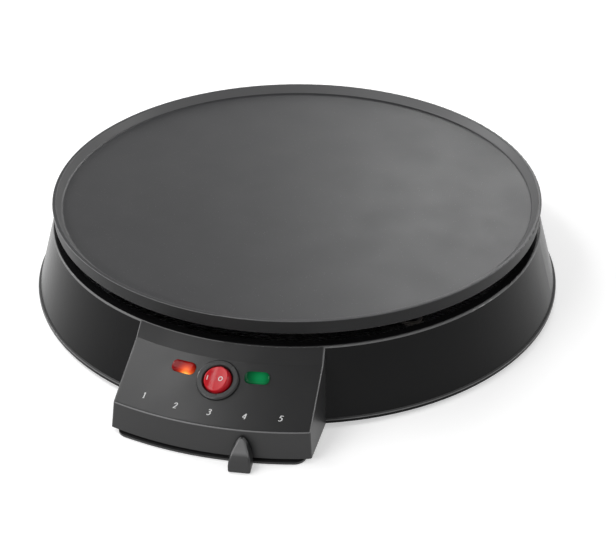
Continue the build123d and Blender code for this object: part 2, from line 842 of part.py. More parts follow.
plan = extrude(make_face(Polyline(*taper, close=True)), base_top) + column(half_hub, 0, base_top)
keep("lever_arm", swing * ((strip & plan) - column(stud_radius + running_fit, 0, base_top)))


def wall_radius(z):
    return panel_front_radius + (panel_front_z - z) * front_wall_slope


knob_low = knob_foot_z
knob_top = knob_foot_z + knob_height
half_knob = knob_width / 2
# side view, as (distance from the axis, height): it clears the edge of the floor and leans in to the wall
foot_front = foot_back + knob_depth
tip_back = wall_radius(knob_top) + knob_standoff / cos(wall_lean)
tip_front = tip_back + knob_tip_depth
bulge = ((tip_front + foot_front) / 2 + knob_bulge[0], (knob_top + knob_low) / 2 + knob_bulge[1])
side_face = Plane.YZ * make_face(
    [
        Line((-foot_back, knob_low), (-foot_back, box_foot_z)),
        Line((-foot_back, box_foot_z), (-tip_back, knob_top)),
        Line((-tip_back, knob_top), (-tip_front, knob_top)),
        ThreePointArc((-tip_front, knob_top), (-bulge[0], bulge[1]), (-foot_front, knob_low)),
        Line((-foot_front, knob_low), (-foot_back, knob_low)),
    ]
)
# front view: straight foot, bowed sides, small rounded tip
shoulder_z = knob_top - knob_shoulder
bow = (half_knob * knob_bow[0], knob_low + knob_height * knob_bow[1])
arch = Plane.XZ * make_face(
    [
        Line((-half_knob, knob_low), (half_knob, knob_low)),
        ThreePointArc((half_knob, knob_low), bow, (knob_tip_half, shoulder_z)),
        ThreePointArc((knob_tip_half, shoulder_z), (0, knob_top), (-knob_tip_half, shoulder_z)),
        ThreePointArc((-knob_tip_half, shoulder_z), (-bow[0], bow[1]), (-half_knob, knob_low)),
    ]
)
knob = extrude(side_face, knob_width, both=True) & extrude(arch, foot_front + past)
knob_front = knob.faces().sort_by(SortBy.AREA)[-1]
knob = fillet([e for e in knob_front.edges() if (e @ 0.5).Z > knob_low + 1], knob_round)
knob -= block(
    (-half_arm - thread_gap, half_arm + thread_gap),
    (-arm_end - thread_gap, -foot_back + 1),
    (arm_under - thread_gap, arm_over + thread_gap),
)
keep("lever_knob", swing * knob)

# ---------------------------------------------------------------- rocker switch
cap_radius = cap_sphere_diameter / 2
cavity_radius = cap_radius + 0.4
bezel_top = bezel_thickness - switch_recess
barrel_low = -switch_recess - barrel_depth
pin_half = cavity_radius + 1.0
cap_pin = Rot(90, 0, 0) * Cylinder(cap_pin_diameter / 2, 2 * pin_half)
bezel = Pos(0, 0, -switch_recess) * Cylinder(bezel_radius, bezel_thickness, align=up)
bezel = fillet(bezel.edges().sort_by(Axis.Z)[-1:], bezel_round)
switch = bezel + Pos(0, 0, barrel_low) * Cylinder(barrel_radius, barrel_depth, align=up)
switch -= Pos(0, 0, -cavity_depth) * Cylinder(cavity_radius, past, align=up)
switch -= Pos(0, 0, bezel_top - 0.6) * Cone(cavity_radius, cavity_radius + 0.8, 0.8, align=up)
pivot_hole = Rot(90, 0, 0) * Cylinder(cap_pin_diameter / 2 + running_fit, 2 * (pin_half + moving_gap))
switch -= Pos(0, 0, -pivot_depth) * pivot_hole
keep("switch_body", switch_frame * switch)

# the cap is a ball with a dished top, hollowed along the pivot
wing = cap_radius + 1
wing_z = cap_top + cap_dish_radius - sqrt(cap_dish_radius**2 - wing**2)
cap_section = Plane.XZ * make_face(
    [
        Line((-wing, -cap_low), (wing, -cap_low)),
        Line((wing, -cap_low), (wing, wing_z)),
        ThreePointArc((wing, wing_z), (0, cap_top), (-wing, wing_z)),
        Line((-wing, wing_z), (-wing, -cap_low)),
    ]
)
cap = Rot(90, 0, 0) * Sphere(cap_radius) & extrude(cap_section, wing, both=True)
cap_edges = [e for e in cap.edges() if (e @ 0.5).Z > cap_top - 0.1]
cap = fillet(cap_edges, cap_round) + cap_pin
keep("rocker_cap", switch_frame * Pos(0, 0, -pivot_depth) * Rot(0, -cap_tilt, 0) * cap)

tab_x = [-tab_pitch, 0.0, tab_pitch]
tab_low = barrel_low - tab_length
tabs = []
for x in tab_x:
    x_pair = (x - tab_thickness / 2, x + tab_thickness / 2)
    tabs.append(switch_frame * block(x_pair, (-tab_width / 2, tab_width / 2), (tab_low, barrel_low)))
keep("switch_tabs", together(tabs))

# ---------------------------------------------------------------- indicator lamps
holder_top = -box_wall - 0.5
holder_low = holder_top - holder_height
holder_x = (-holder_length / 2, holder_length / 2)
holder_y = (-holder_width / 2, holder_width / 2)
shank_low = holder_top - 2.3
neon_z = shank_low - moving_gap - neon_diameter / 2
holders = []
neons = []
for name, frame in zip(["lamp_lens_red", "lamp_lens_green"], lamp_frames):
    head = Pos(0, 0, -lamp_recess) * extrude(lens_outline(0), lens_dome + lamp_recess)
    head = fillet(head.faces().sort_by(Axis.Z)[-1].edges(), lens_dome * 0.95)
    shank = extrude(lens_outline(-lens_flange), -shank_low - lamp_recess)
    keep(name, frame * (head + Pos(0, 0, shank_low) * shank))
    sleeve = block(holder_x, holder_y, (holder_low, holder_top))
    sleeve -= Pos(0, 0, shank_low - seat_gap) * extrude(lens_outline(seat_gap - lens_flange), past)
    sleeve -= Pos(0, 0, neon_z) * Rot(0, 90, 0) * Cylinder(neon_diameter / 2 + seat_gap, neon_length + 1)
    holders.append(frame * sleeve)
    glass = Rot(0, 90, 0) * Cylinder(neon_diameter / 2, neon_length)
    glass = fillet(glass.edges().filter_by(GeomType.CIRCLE), 1.5)
    neons.append(frame * Pos(0, 0, neon_z) * glass)
keep("lamp_holders", together(holders))
keep("neon_lamps", together(neons))

# ---------------------------------------------------------------- cord gland and terminal block at the back
gland_inner_length = wall + 2.6
gland = gland_frame * Cylinder(gland_radius + gland_collar, gland_collar_depth, align=up)
gland += gland_frame * Pos(0, 0, -gland_inner_length) * Cylinder(gland_radius, gland_inner_length, align=up)
gland = fillet(gland.edges().sort_by(Axis.Y)[-1:], 0.8)
barb = Cone(gland_radius - 0.6, gland_radius + 1.2, 2.2, align=up)
gland += gland_frame * Pos(0, 0, -gland_inner_length) * barb
gland -= gland_frame * Cylinder(cord_bore_diameter / 2, 2 * past)
keep("cord_gland", gland)

block_low = shelf_under - block_height
pole_z = shelf_under - block_height / 2
sleeve_radius = wire_bore + sleeve_wall
half_depth = block_depth / 2
block_x = (pole_offsets[0] - pole_pitch * 0.6, block_screw_at[0] + pole_pitch * 0.6)
terminal_body = block(block_x, (-half_depth, half_depth), (block_low, shelf_under))
terminal_body -= column(case_clear, 0, shelf_under + 1, block_screw_at)
# the two neutral poles are bridged inside the block
link = block((pole_offsets[1], pole_offsets[2]), (-1.5, 1.5), (pole_z - 1, pole_z + 1))
terminal_body -= link
sleeves = []
for offset in pole_offsets:
    along = Pos(offset, 0, pole_z) * Rot(90, 0, 0)
    terminal_body -= along * Cylinder(sleeve_radius, 2 * block_depth)
    sleeves.append(along * Cylinder(sleeve_radius, block_depth - 2))
sleeves[1:3] = [sleeves[1] + link + sleeves[2]]
for offset in pole_offsets:
    bore = Pos(offset, 0, pole_z) * Rot(90, 0, 0) * Cylinder(wire_bore, 2 * block_depth)
    sleeves = [sleeve - bore for sleeve in sleeves]
keep("terminal_block", block_place * terminal_body)
keep("terminal_sleeves", together(block_place * sleeve for sleeve in sleeves))
keep(
    "terminal_block_screw",
    block_place * screw(case_screw_diameter, block_low, shelf_top - 0.5, block_screw_at, 1.8),
)

# ---------------------------------------------------------------- thermal fuse and earth connection
strap_z = (pad_under - strap_sheet, pad_under)
fuse_radius = pad_drop / 2 - thread_gap
fuse_x = fuse_spot[0] + pad_radius + fuse_radius + 1.5
fuse_z = pad_under + fuse_radius + thread_gap
keep("thermal_fuse", Pos(fuse_x, 0, fuse_z) * Rot(90, 0, 0) * Cylinder(fuse_radius, fuse_length))
strap = block((fuse_spot[0] - pad_radius, fuse_x + 3), (-4, 4), strap_z)
keep("fuse_strap", strap - column(case_clear, 0, plate_under, fuse_spot))
# the tail of the earth tag points at the bushing that its wire goes down through
earth_tail = 9.0
tail_run = Vector(*bushing_spots[1], 0) - Vector(*earth_spot, 0)
tail_direction = tail_run.normalized()
tail_angle = degrees(atan2(tail_run.Y, tail_run.X))
earth_tag = column(4.0, *strap_z, earth_spot)
earth_tag += Pos(*earth_spot) * Rot(0, 0, tail_angle) * block((0, earth_tail), (-2, 2), strap_z)
keep("earth_tag", earth_tag - column(case_clear, 0, plate_under, earth_spot))
keep("pad_screws", case_screws(strap_z[0], pad_screw_top, (fuse_spot, earth_spot), 2.0))

# ---------------------------------------------------------------- push-on sleeves on every blade and tab
grip = sleeve_wall + thread_gap


def push_on(x, y, z, open_end):
    """A flat sleeve round a blade of these three extents, open towards one end of it."""
    outer = [[x[0] - grip, x[1] + grip], [y[0] - grip, y[1] + grip], [z[0] - grip, z[1] + grip]]
    inner = [[low - thread_gap, high + thread_gap] for low, high in (x, y, z)]
    axis, end = open_end
    outer[axis][end] = (x, y, z)[axis][end] - (grip if end else -grip)
    inner[axis][end] += past if end else -past
    return block(*outer) - block(*inner)


push_ons = []
for x in tab_x:
    x_pair = (x - tab_thickness / 2, x + tab_thickness / 2)
    tab_y = (-tab_width / 2, tab_width / 2)
    push_ons.append(switch_frame * push_on(x_pair, tab_y, (tab_low, barrel_low), (2, 1)))
for z in (lower_blade, upper_blade):
    blade_x = (blade_left, blade_left + blade_overhang - 2)
    push_ons.append(push_on(blade_x, blade_y, (z, z + blade_sheet), (0, 1)))
for t in tips:
    flag_x = (t[0] - blade_sheet / 2, t[0] + blade_sheet / 2)
    flag_y = (t[1] - element_blade_width / 2, t[1] + element_blade_width / 2)
    push_ons.append(push_on(flag_x, flag_y, (flag_low, blade_high), (2, 1)))
keep("push_on_sleeves", together(push_ons))


# ---------------------------------------------------------------- wiring
def on_switch(x, y, depth):
    return switch_frame.from_local_coords(Vector(x, y, depth))


def tab_exit(x, out):
    """Beside a switch tab, this far out of its sleeve on the side of the base."""
    return on_switch(x, tab_width / 2 + grip + out, tab_low + wire_radius)


def pole_point(offset, radius, z):
    """A point in line with a pole of the terminal block, at a distance from the centre of the plate."""
    return (Rot(0, 0, block_azimuth) * Pos(offset, -radius, z)).position


pole_end = boss_circle - half_depth + 3.0
pole_turn = boss_circle - half_depth - 9.5
live_pole, neutral_pole, return_pole, earth_pole = pole_offsets
outer_ring = boss_circle - boss_radius - 6.5
inner_ring = outer_ring - 4.5


def supply_run(pole, ring, tab):
    """From a pole of the terminal block round the right-hand side to a switch tab."""
    corner = ring / cos(radians(ring_step / 2))
    points = [pole_point(pole, pole_end, pole_z), pole_point(pole, ring - 4.0, pole_z)]
    points += [polar(corner, a, ring_height) for a in ring_azimuths]
    points += [polar(ring, 20, ring_height + 3), tab_exit(tab, 16), tab_exit(tab, 0)]
    limits = [8] + [80] * len(ring_azimuths) + [60, 16]
    return wire_run(points, limits)


keep("wire_live", supply_run(live_pole, outer_ring, tab_x[2]))
keep("wire_neutral", supply_run(neutral_pole, inner_ring, tab_x[1]))

return_bushing, earth_bushing, feed_bushing = (Vector(x, y, 0) for x, y in bushing_spots)
lower_mid = lower_blade + blade_sheet / 2
upper_mid = upper_blade + blade_sheet / 2
blade_end = blade_left - grip
turn_x = blade_end - blade_wire_run
run_low = Vector(0, 0, run_height)
wire_thermostat = [
    tab_exit(tab_x[0], 0),
    tab_exit(tab_x[0], 14),
    polar(pan_floor_radius, -16, run_height + 3),
    feed_bushing + run_low,
    feed_bushing + Vector(0, 0, lower_mid),
    Vector(turn_x, 0, lower_mid),
    Vector(blade_end, 0, lower_mid),
]
keep("wire_thermostat", wire_run(wire_thermostat, [20, 40, 7, 7, 6]))

flag_z = (flag_low + blade_high) / 2
flag_face = blade_sheet / 2 + grip
side_x = feed_bushing.X - side_wire_gap
wire_feed = [
    Vector(blade_end, 0, upper_mid),
    Vector(side_x, 0, upper_mid),
    Vector(side_x, feed_bushing.Y * 0.75, upper_mid),
    Vector(tip_l.X - 20, tip_l.Y, flag_z),
    Vector(tip_l.X - flag_face, tip_l.Y, flag_z),
]
keep("wire_element_feed", wire_run(wire_feed, [9, 25, 9]))
fuse_end = fuse_length / 2
wire_to_fuse = [
    Vector(tip_r.X + flag_face, tip_r.Y, flag_z),
    Vector(tip_r.X + 22, tip_r.Y, flag_z),
    Vector(fuse_x, -fuse_end - 50, pad_under - 10),
    Vector(fuse_x, -fuse_end - 20, fuse_z),
    Vector(fuse_x, -fuse_end, fuse_z),
]
wire_from_fuse = [
    Vector(fuse_x, fuse_end, fuse_z),
    Vector(fuse_x, fuse_end + 18, fuse_z),
    return_bushing + Vector(0, 0, pad_under - 5),
    return_bushing + run_low,
    pole_point(return_pole, pole_turn, run_height + 2),
    pole_point(return_pole, pole_turn, pole_z),
    pole_point(return_pole, pole_end, pole_z),
]
to_fuse = wire_run(wire_to_fuse, [9, 25, 25])
from_fuse = wire_run(wire_from_fuse, [12, 12, 7, 7, 6])
keep("wire_element_return", together([to_fuse, from_fuse]))
tag_z = (strap_z[0] + strap_z[1]) / 2
wire_earth = [
    Vector(*earth_spot, tag_z) + tail_direction * earth_tail,
    earth_bushing + Vector(0, 0, tag_z),
    earth_bushing + run_low,
    pole_point(earth_pole, pole_turn, run_height + 2),
    pole_point(earth_pole, pole_turn, pole_z),
    pole_point(earth_pole, pole_end, pole_z),
]
keep("wire_earth", wire_run(wire_earth, [8, 7, 7, 6]))

# clips round the two cover bosses on the right, holding the two supply wires
clip_z = (ring_height - wire_bore - clip_wall, ring_height + wire_bore + clip_wall)
clip = block((-clip_width / 2, clip_width / 2), (-boss_circle, -inner_ring + wire_bore + clip_wall), clip_z)
clip += column(boss_radius + clip_wall, *clip_z, (0, -boss_circle))
clip -= column(boss_radius + thread_gap, 0, shelf_top, (0, -boss_circle))
for ring in (outer_ring, inner_ring):
    clip -= Pos(0, -ring, ring_height) * Rot(0, 90, 0) * Cylinder(wire_bore, past)
keep("wire_clips", together(Rot(0, 0, a) * clip for a in boss_azimuths if a < 180))

# thin leads from the two lamps to the switch tabs
lead_depth = tab_low + 3.0
lead_side = tab_thickness / 2 + grip
lead_front = tab_width / 2 + grip
lead_bend = 2.0
leads = []
for side, frame, inner_depth in [(-1, lamp_frames[0], lead_depth), (1, lamp_frames[1], lead_depth + 2.0)]:
    tab = side * tab_pitch
    outer_lead = [
        frame.from_local_coords(Vector(-side * 3, 0, holder_low)),
        frame.from_local_coords(Vector(-side * 3, 0, lead_depth)),
        on_switch(tab + side * 4.5, 0, lead_depth),
        on_switch(tab + side * lead_side, 0, lead_depth),
    ]
    inner_lead = [
        frame.from_local_coords(Vector(side * 3, 0, holder_low)),
        frame.from_local_coords(Vector(side * 3, 0, inner_depth - 1)),
        on_switch(side * 7, -8, inner_depth),
        on_switch(0, -8, inner_depth),
        on_switch(0, -lead_front, inner_depth),
    ]
    for points in (outer_lead, inner_lead):
        leads.append(wire_run(points, [lead_bend] * (len(points) - 2), lead_diameter / 2))
keep("lamp_leads", together(leads))

for name, shape in made.items():
    whole = shape if isinstance(shape, Compound) else Compound(children=[shape])
    export_step(whole, f"parts/{name}.step")
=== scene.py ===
import json
import math

import bpy
from mathutils import Matrix, Vector


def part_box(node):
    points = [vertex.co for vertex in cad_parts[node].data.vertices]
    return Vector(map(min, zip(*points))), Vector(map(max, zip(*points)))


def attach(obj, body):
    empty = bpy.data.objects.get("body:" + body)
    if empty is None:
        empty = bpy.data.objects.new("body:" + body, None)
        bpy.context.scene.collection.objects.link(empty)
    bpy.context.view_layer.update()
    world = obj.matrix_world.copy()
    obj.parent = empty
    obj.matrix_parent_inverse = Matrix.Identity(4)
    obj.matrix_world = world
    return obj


# Electric crepe maker: finishes, printed marks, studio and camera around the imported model.
# Metres, +Z up. The control box faces -Y; azimuths are from the front (-Y) towards the right (+X).

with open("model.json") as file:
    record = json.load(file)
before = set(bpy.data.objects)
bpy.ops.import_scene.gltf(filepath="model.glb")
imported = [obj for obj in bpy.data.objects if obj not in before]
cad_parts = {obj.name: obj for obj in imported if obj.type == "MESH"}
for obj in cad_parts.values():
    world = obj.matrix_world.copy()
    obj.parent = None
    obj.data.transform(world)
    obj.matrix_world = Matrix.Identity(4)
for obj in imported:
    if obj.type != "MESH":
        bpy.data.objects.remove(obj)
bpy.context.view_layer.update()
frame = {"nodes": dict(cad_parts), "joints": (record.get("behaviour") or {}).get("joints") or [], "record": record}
mm = 0.001

# ---------------------------------------------------------------- driving sizes and places
joints = {joint["name"]: joint for joint in frame["joints"]}
# the sloping panel, from the rocker's hinge, which lies along its slope and just under it
hinge = joints["power_rocker"]
rocker_tilt = math.radians(hinge["range_deg"][1] - hinge["range_deg"][0]) / 2
hinge_depth = 1.0 * mm
# temperature scale: a number at each end of the lever's swing, and the others evenly between them
swing = joints["temperature_lever"]["range_deg"]
mark_count = 5
mark_step = (swing[1] - swing[0]) / (mark_count - 1)
mark_radius = 184.25 * mm
mark_height = 3.25 * mm
mark_lean = 0.18
first_mark_lift = 0.9 * mm
# pen of the numbers, in heights of a number, and how much each stroke lies above the one before
stroke_thin = 0.048
stroke_thick = 0.095
curve_steps = 8
stroke_step = 0.008 * mm
# ink, half of it above the surface
print_thickness = 0.1 * mm
# rocker marks, on the dish of the rocker
dish_bottom = 3.2 * mm
dish_radius = 22.0 * mm
on_mark_x = -5.0 * mm
off_mark_x = 2.6 * mm
on_mark_size = (0.5 * mm, 2.6 * mm)
off_mark_radii = (0.9 * mm, 1.35 * mm)
ring_steps = 32
# how softly a tone that follows the surface's tilt ends, as a change of its normal's Z
tilt_fade = 0.05
# noise mostly lies between these values
noise_low = 0.3
noise_high = 0.7
# moulded pieces: the sizes of their mottling and of their smudges
mottle_size = 14 * mm
smudge_size = 28 * mm
# the patches of worked metal
metal_patch = 5 * mm
# streaks of worked metal: their width over their length, how they change the roughness, and their depth
streak_stretch = 0.06
streak_roughness = (0.8, 1.25)
streak_depth = 0.01 * mm
# lamp lenses: how fast strength and tint fall off from the hot spot, and how near it, from 0 at its rim
# to 1 at its middle, the edge's colour, a painted shade at the lens's rim, starts and ends turning into the body's
strength_falloff = 2.0
tint_falloff = 3.0
lens_rim_shade = (0.1, 0.6)
# camera
camera_place = (0.20842, -0.78753, 0.50769)
camera_turn = math.radians(14.35)
camera_dip = math.radians(31.79)
camera_lens = 87.66
camera_sensor = 36.0
# floor
floor_size = 8.0
floor_colour = (0.8, 0.8, 0.8, 1)
floor_roughness = 0.9
floor_gloss = 0.1
floor_lift = 0.42
# world: its strength as light, at the horizon and overhead, and the Z of a direction where it starts
# and ends fading between those two
world_light = 0.4
world_horizon = 1.0
world_ceiling = 0.25
ceiling_starts = 0.15
ceiling_reached = 0.65
white = (1, 1, 1, 1)
# rays that show the backdrop: from the camera, in reflections and through glass
seen_rays = ("Is Camera Ray", "Is Glossy Ray", "Is Transmission Ray")
# softboxes: direction from the origin, distance, width and height, and power in watts
softboxes = {
    "key_light": ((-0.68, 0.03, 0.73), 1.3, (0.5, 0.8), 4.2),
    "edge_light": ((-0.36, -0.27, 0.88), 1.3, (0.6, 0.16), 2.0),
    "front_light": ((-0.40, -0.80, 0.43), 1.5, (0.9, 0.14), 7.0),
    "side_light": ((0.87, 0.33, 0.34), 1.3, (0.2, 0.3), 4.0),
    "left_light": ((-0.87, 0.2, 0.44), 1.3, (0.2, 0.2), 2.6),
    "back_light": ((0.03, 0.82, 0.57), 1.6, (0.6, 0.28), 4.5),
}


# ---------------------------------------------------------------- node tools
class Nodes:
    """A node tree, with short ways to add to it. What feeds an input is a value or another output."""

    def __init__(self, tree):
        self.tree = tree

    def feed(self, value, socket):
        if isinstance(value, bpy.types.NodeSocket):
            self.tree.links.new(value, socket)
        else:
            socket.default_value = value

    def node(self, kind, **inputs):
        made = self.tree.nodes.new(kind)
        for name, value in inputs.items():
            self.feed(value, made.inputs[name.replace("_", " ")])
        return made

    def span(self, value, low, high, low_out, high_out):
        """value taken from low..high to low_out..high_out, held at both ends."""
        taken = {"Value": value, "From_Min": low, "From_Max": high}
        return self.node("ShaderNodeMapRange", **taken, To_Min=low_out, To_Max=high_out).outputs[0]

    def maths(self, operation, first, second=0.0):
        made = self.tree.nodes.new("ShaderNodeMath")
        made.operation = operation
        self.feed(first, made.inputs[0])
        self.feed(second, made.inputs[1])
        return made.outputs[0]

    def mix(self, factor, first, second, kind="Color"):
        """first where factor is 0, second where it is 1. kind is Color, or Float for plain numbers."""
        made = self.tree.nodes.new("ShaderNodeMix")
        made.data_type = {"Color": "RGBA", "Float": "FLOAT"}[kind]
        sockets = {socket.identifier: socket for socket in [*made.inputs, *made.outputs]}
        self.feed(factor, sockets["Factor_Float"])
        self.feed(first, sockets[f"A_{kind}"])
        self.feed(second, sockets[f"B_{kind}"])
        return sockets[f"Result_{kind}"]

    def rays(self, *kinds):
        """1 for a ray of any of these kinds, else 0."""
        path = self.node("ShaderNodeLightPath")
        found = path.outputs[kinds[0]]
        for kind in kinds[1:]:
            found = self.maths("MAXIMUM", found, path.outputs[kind])
        return found


class Finish(Nodes):
    """A procedural material. Its patterns are placed in metres in the model's own frame."""

    def __init__(self, name, **sockets):
        self.material = bpy.data.materials.new(name)
        self.material.use_nodes = True
        super().__init__(self.material.node_tree)
        self.shader = self.tree.nodes["Principled BSDF"]
        self.place = self.node("ShaderNodeTexCoord").outputs["Object"]
        self.normal = None
        for socket, value in sockets.items():
            self.set(socket.replace("_", " "), value)

    def set(self, socket, value):
        self.feed(value, self.shader.inputs[socket])

    def stretched(self, x, y, z):
        """The place, with its three directions scaled."""
        return self.node("ShaderNodeMapping", Vector=self.place, Scale=(x, y, z)).outputs[0]

    def noise(self, size, detail, place=None):
        """Noise from 0 to 1, with features about as large as size."""
        place = place or self.place
        return self.node("ShaderNodeTexNoise", Vector=place, Scale=1 / size, Detail=detail).outputs[0]

    def cells(self, size):
        """Scattered cells, each about size across. Distance is from a cell's point."""
        return self.node("ShaderNodeTexVoronoi", Vector=self.place, Scale=1 / size).outputs

    def cell_shade(self, size):
        """A random shade for each cell."""
        return self.node("ShaderNodeSeparateColor", Color=self.cells(size)["Color"]).outputs[0]

    def tilted(self, low, high):
        """1 where the Z of the surface's normal lies between two values, as on a rounded edge, else 0."""
        normal = self.node("ShaderNodeNewGeometry").outputs["Normal"]
        tilt = self.node("ShaderNodeSeparateXYZ", Vector=normal).outputs["Z"]
        rise = self.span(tilt, low - tilt_fade, low + tilt_fade, 0.0, 1.0)
        fall = self.span(tilt, high - tilt_fade, high + tilt_fade, 1.0, 0.0)
        return self.maths("MULTIPLY", rise, fall)

    def mottled(self, size, detail, dark, pale):
        """A colour that wanders between two, in patches about as large as size."""
        return self.mix(self.noise(size, detail), dark, pale)

    def patchy_roughness(self, size, detail, glossy, dull):
        """Roughness that wanders between two values, in patches about as large as size."""
        patch = self.noise(size, detail)
        self.set("Roughness", self.span(patch, noise_low, noise_high, glossy, dull))

    def relief(self, height, depth):
        """Adds relief of that depth, in metres, to what is there."""
        made = self.node("ShaderNodeBump", Height=height, Distance=depth)
        if self.normal:
            self.tree.links.new(self.normal, made.inputs["Normal"])
        self.normal = made.outputs[0]
        self.set("Normal", self.normal)

    def bumps(self, size, detail, depth):
        """Adds bumps about as large as size."""
        self.relief(self.noise(size, detail), depth)


def shade(colour, factor):
    return tuple(factor * part for part in colour) + (1,)


# ---------------------------------------------------------------- finishes of one kind
def moulded(name, colour, roughness, grain, depth, mottle=0.12, smudge=0.12, **sockets):
    """Moulded plastic, rubber or ceramic: faint mottling and smudges, and a fine surface grain."""
    made = Finish(name, **sockets)
    dark, pale = shade(colour, 1 - mottle), shade(colour, 1 + mottle)
    made.set("Base Color", made.mottled(mottle_size, 3, dark, pale))
    made.patchy_roughness(smudge_size, 4, roughness * (1 - smudge), roughness * (1 + smudge))
    made.bumps(grain, 3, depth)
    return made.material


# each finish's colour, roughness, size and depth of its grain, and what else differs
moulded_finishes = {
    "black_bezel": ((0.020, 0.020, 0.0205), 0.27, 1.5 * mm, 0.004 * mm, {}),
    "rubber": ((0.022, 0.022, 0.022), 0.75, 0.6 * mm, 0.03 * mm, {}),
    "dark_ceramic": ((0.07, 0.062, 0.055), 0.7, 0.5 * mm, 0.03 * mm, {}),
    "ceramic": ((0.78, 0.76, 0.71), 0.7, 0.5 * mm, 0.03 * mm, {"mottle": 0.05}),
    "natural_plastic": ((0.74, 0.72, 0.64), 0.5, 0.8 * mm, 0.01 * mm, {"mottle": 0.04}),
    "neon_glass": ((0.75, 0.42, 0.25), 0.12, 2 * mm, 0.005 * mm, {"Coat_Weight": 0.5}),
    "brown_wire": ((0.13, 0.05, 0.025), 0.5, 1 * mm, 0.02 * mm, {}),
    "blue_wire": ((0.03, 0.1, 0.4), 0.5, 1 * mm, 0.02 * mm, {}),
    "white_wire": ((0.72, 0.72, 0.69), 0.7, 0.5 * mm, 0.05 * mm, {"mottle": 0.05}),
}


def metal(name, colour, roughness, streak, spread=0.1):
    """Worked metal: fine streaks along X and a slight patchiness."""
    made = Finish(name, Metallic=1.0)
    patch = made.cell_shade(metal_patch)
    made.set("Base Color", made.mix(patch, shade(colour, 1 - spread), shade(colour, 1 + spread)))
    lines = made.noise(streak, 3, made.stretched(streak_stretch, 1, 1))
    glossy, dull = (roughness * factor for factor in streak_roughness)
    made.set("Roughness", made.span(lines, noise_low, noise_high, glossy, dull))
    made.relief(lines, streak_depth)
    return made.material


# each metal's colour, roughness, width of its streaks and, where it isn't the usual, spread of its tone
metal_finishes = {
    "blackened_steel": ((0.05, 0.05, 0.055), 0.5, 0.6 * mm),
    "zinc_steel": ((0.56, 0.57, 0.58), 0.36, 0.7 * mm),
    "bright_sheet": ((0.77, 0.77, 0.78), 0.26, 0.5 * mm, 0.05),
    "element_sheath": ((0.20, 0.185, 0.17), 0.5, 1.5 * mm, 0.25),
    "terminal_brass": ((0.72, 0.54, 0.24), 0.3, 0.4 * mm),
    "screw_steel": ((0.6, 0.6, 0.6), 0.3, 0.4 * mm, 0.06),
}


def lens(name, node, spot, spot_size, strength, body, edge, glow):
    """Clear coloured lens of a node, brighter at a spot given from its middle; its colour has painted shade toward
    its rim.
    """
    low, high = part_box(node)
    made = Finish(name, Specular_IOR_Level=0.08)
    offset = made.node("ShaderNodeVectorMath", Vector=made.place)
    offset.operation = "DISTANCE"
    offset.inputs[1].default_value = (low + high) / 2 + spot
    near = made.span(offset.outputs["Value"], 0.0, spot_size, 1.0, 0.0)
    soft = made.maths("POWER", near, strength_falloff)
    # painted light and shade: the colour is lighter near the hot spot and darker toward the rim
    made.set("Base Color", made.mix(made.span(near, *lens_rim_shade, 0.0, 1.0), edge, body))
    made.patchy_roughness(2 * mm, 2, 0.09, 0.15)
    made.set("Emission Color", made.mix(made.maths("POWER", near, tint_falloff), body, glow))
    made.set("Emission Strength", made.maths("MULTIPLY", soft, strength))
    made.bumps(2.2 * mm, 1, 0.02 * mm)
    return made.material


# ---------------------------------------------------------------- single finishes
def nonstick_aluminium():
    """Cast aluminium under a dark non-stick coating: turning rings, orange peel and small pale flecks.

    The rim's slope and edges are lighter, a painted highlight, and the outer wall is black and less glossy.
    """
    # the rim's slope and rounded edges get a painted highlight: a lighter colour chosen by their tilt
    rim_slope, painted_highlight = (0.35, 0.85), (0.10, 0.10, 0.102, 1)
    outer_wall, wall_black = (-0.3, 0.25), (0.018, 0.018, 0.0185, 1)
    coat_gloss, wall_gloss = 0.45, 0.15
    fleck_size, fleck_colour = 1.3 * mm, (0.13, 0.13, 0.135, 1)
    fleck_end, fleck_rarity = (0.10, 0.16), (0.80, 0.84)
    ring_step, ring_depth = 1.1 * mm, 0.004 * mm
    made = Finish("nonstick_aluminium")
    coat = made.mottled(22 * mm, 4, (0.025, 0.025, 0.027, 1), (0.036, 0.036, 0.038, 1))
    fleck = made.span(made.cells(fleck_size)["Distance"], *fleck_end, 1.0, 0.0)
    rare = made.span(made.cell_shade(fleck_size), *fleck_rarity, 0.0, 1.0)
    coat = made.mix(made.maths("MULTIPLY", fleck, rare), coat, fleck_colour)
    # painted highlight on the rim's slope and edges
    coat = made.mix(made.tilted(*rim_slope), coat, painted_highlight)
    wall = made.tilted(*outer_wall)
    made.set("Base Color", made.mix(wall, coat, wall_black))
    made.set("Specular IOR Level", made.span(wall, 0.0, 1.0, coat_gloss, wall_gloss))
    made.patchy_roughness(30 * mm, 5, 0.39, 0.44)
    across = made.node("ShaderNodeVectorMath", Vector=made.stretched(1, 1, 0))
    across.operation = "LENGTH"
    rings = made.maths("SINE", made.maths("MULTIPLY", across.outputs["Value"], 2 * math.pi / ring_step))
    made.relief(rings, ring_depth)
    made.bumps(0.9 * mm, 2, 0.02 * mm)
    return made.material


def black_housing():
    """Black heat-resistant plastic, satin gloss, with a slight orange peel and a painted highlight on its rounded
    edges.
    """
    # rounded edges, such as the top edge and the bottom bead, get a painted highlight colour
    rounded_edge, painted_edge_highlight = (0.38, 0.92), (0.17, 0.17, 0.171, 1)
    made = Finish("black_housing", Specular_IOR_Level=0.11)
    plain = made.mottled(40 * mm, 3, (0.0045, 0.0045, 0.0048, 1), (0.0065, 0.0065, 0.0068, 1))
    # painted highlight on the rounded edges
    made.set("Base Color", made.mix(made.tilted(*rounded_edge), plain, painted_edge_highlight))
    made.patchy_roughness(35 * mm, 4, 0.20, 0.26)
    made.bumps(3.5 * mm, 2, 0.012 * mm)
    made.bumps(0.5 * mm, 2, 0.002 * mm)
    return made.material


